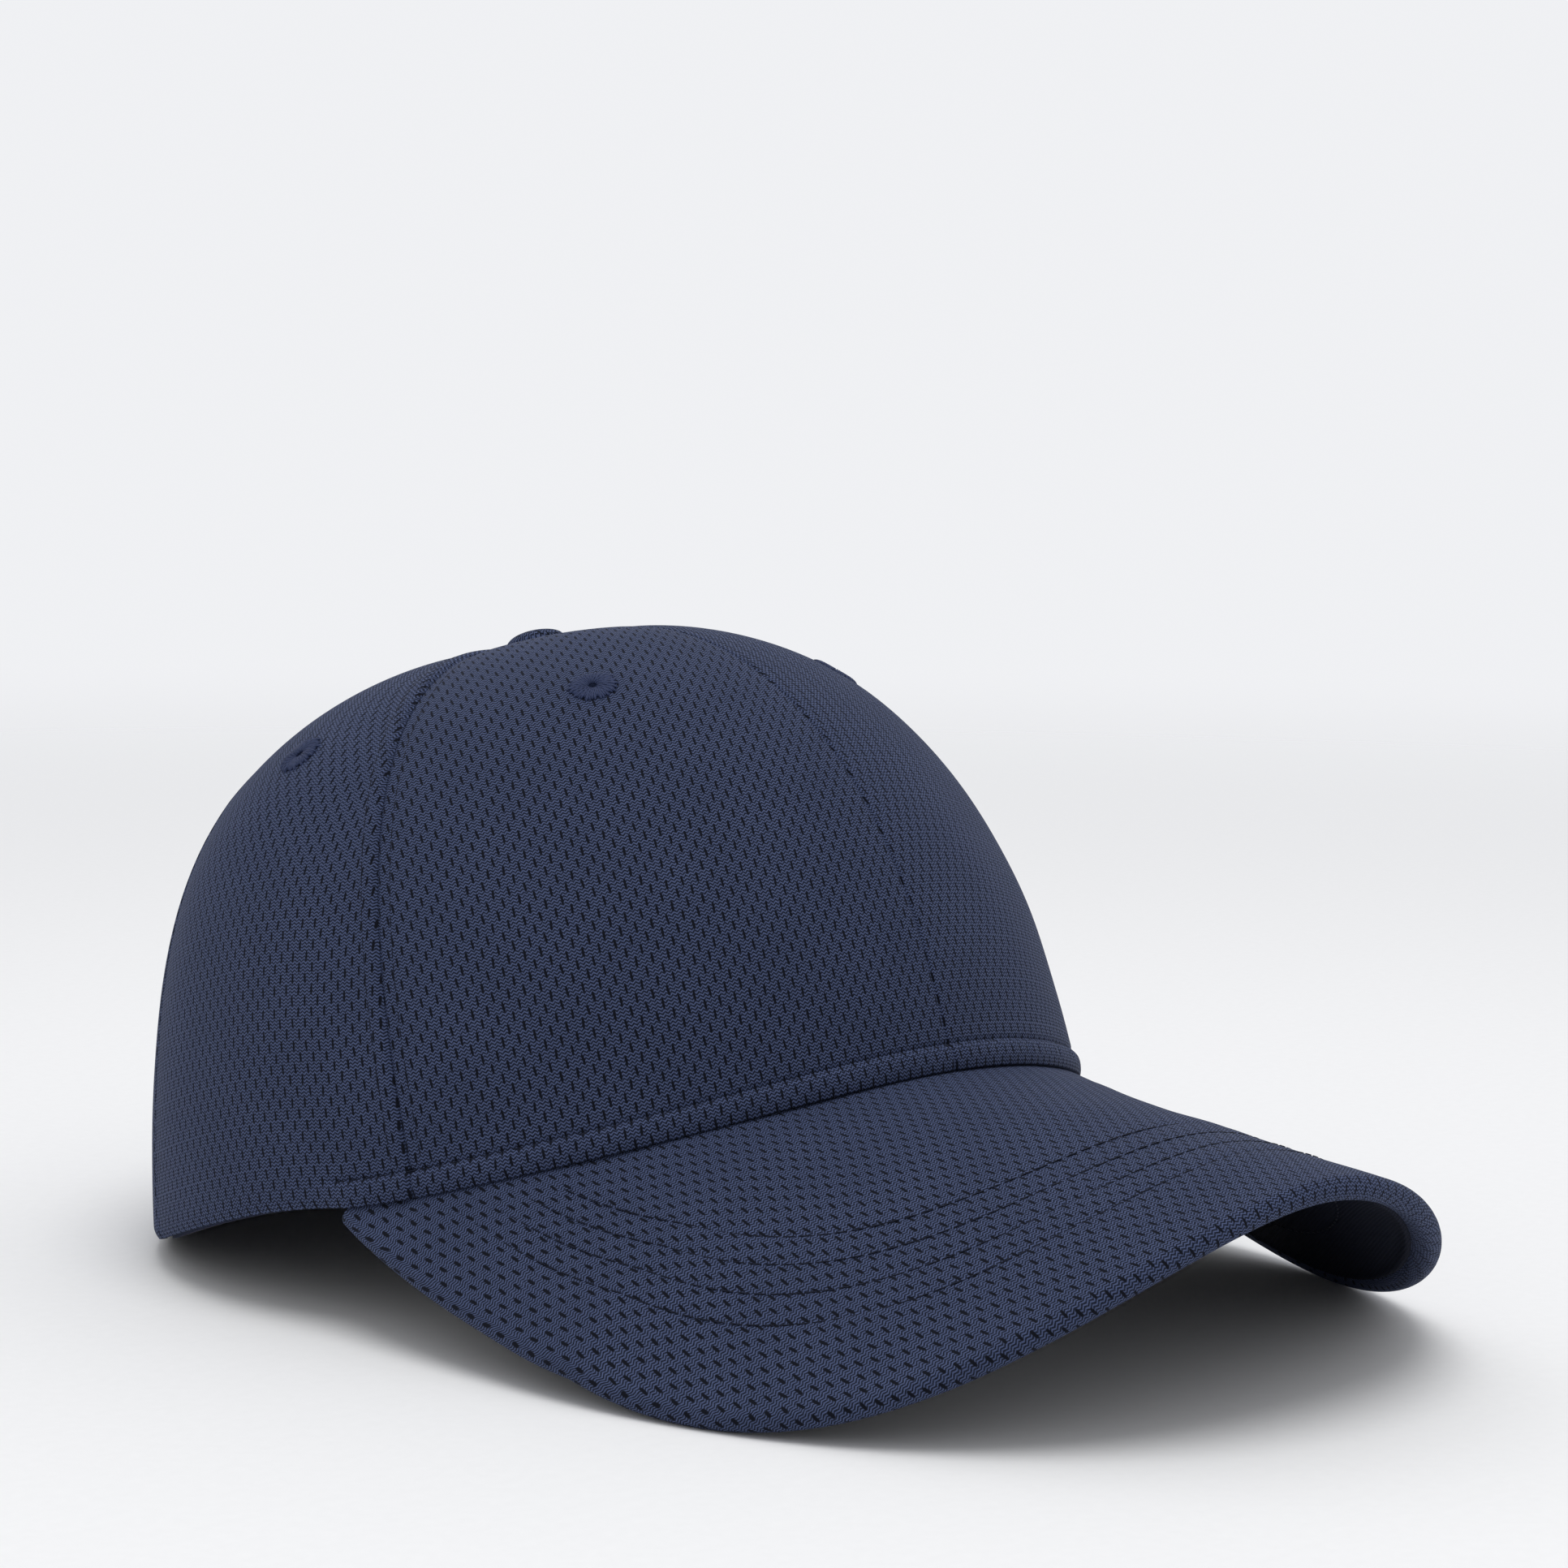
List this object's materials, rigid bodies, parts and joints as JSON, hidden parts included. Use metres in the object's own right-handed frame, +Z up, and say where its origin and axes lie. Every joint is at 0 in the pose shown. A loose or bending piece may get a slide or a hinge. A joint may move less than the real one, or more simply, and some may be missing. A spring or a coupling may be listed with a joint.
{
  "type": "baseball cap",
  "caption": "Structured fabric baseball cap with a curved stitched visor, covered top button, sewn eyelets and a hook-and-loop strap over a back opening.",
  "frame": {"origin": "on the floor, under the middle of the cap's box, with the cap standing on its visor's two low sides and the back of its lower edge", "axes": "+X towards the wearer's left, +Y towards the back of the cap (the visor points along -Y), +Z up"},
  "size_m": [0.1844, 0.2756, 0.1235],
  "materials": {
    "mesh_knit": "polyester knit mesh, slightly shiny",
    "thread": "polyester thread",
    "buckram": "stiff open-weave backing",
    "tape": "folded woven tape",
    "under_cloth": "plain woven polyester",
    "visor_board": "moulded polyethylene board",
    "sweatband": "fine brushed knit",
    "foam": "thin foam laminate",
    "button_metal": "plated pressed steel",
    "hook_tape": "nylon hooks on woven tape",
    "loop_tape": "napped loops on woven tape",
    "strap_cloth": "folded polyester strap"
  },
  "bodies": {
    "cap": {"arch_binding": "tape", "back_panel_left": "mesh_knit", "back_panel_right": "mesh_knit", "band_stitching": "thread", "buckram_left": "buckram", "buckram_right": "buckram", "button_cover": "mesh_knit", "button_prong": "button_metal", "button_shell": "button_metal", "button_washer": "button_metal", "eyelet_back_left": "thread", "eyelet_back_right": "thread", "eyelet_front_left": "thread", "eyelet_front_right": "thread", "eyelet_side_left": "thread", "eyelet_side_right": "thread", "front_panel_left": "mesh_knit", "front_panel_right": "mesh_knit", "hook_strap_root": "strap_cloth", "hook_strap_stitching": "thread", "loop_strap_root": "strap_cloth", "loop_strap_stitching": "thread", "seam_stitching": "thread", "seam_tape_back": "tape", "seam_tape_back_left": "tape", "seam_tape_back_right": "tape", "seam_tape_front": "tape", "seam_tape_front_left": "tape", "seam_tape_front_right": "tape", "side_panel_left": "mesh_knit", "side_panel_right": "mesh_knit", "sweatband": "sweatband", "sweatband_pad": "foam", "visor_board": "visor_board", "visor_stitching": "thread", "visor_top_cover": "mesh_knit", "visor_under_cover": "under_cloth"},
    "hook_strap": {"hook_strap": "strap_cloth", "hook_patch": "hook_tape"},
    "loop_strap": {"loop_strap": "strap_cloth", "loop_patch": "loop_tape"}
  },
  "joints": [
    {"name": "hook_strap_peel", "type": "hinge", "parent": "cap", "child": "hook_strap", "pos_m": [-0.04376, 0.12668, 0.01346], "axis": [0.1007, 0.1436, 0.9845], "range_deg": [0, 110]},
    {"name": "loop_strap_fold", "type": "hinge", "parent": "cap", "child": "loop_strap", "pos_m": [0.04276, 0.12124, 0.01391], "axis": [-0.1014, 0.1458, 0.9841], "range_deg": [0, 75]}
  ]
}
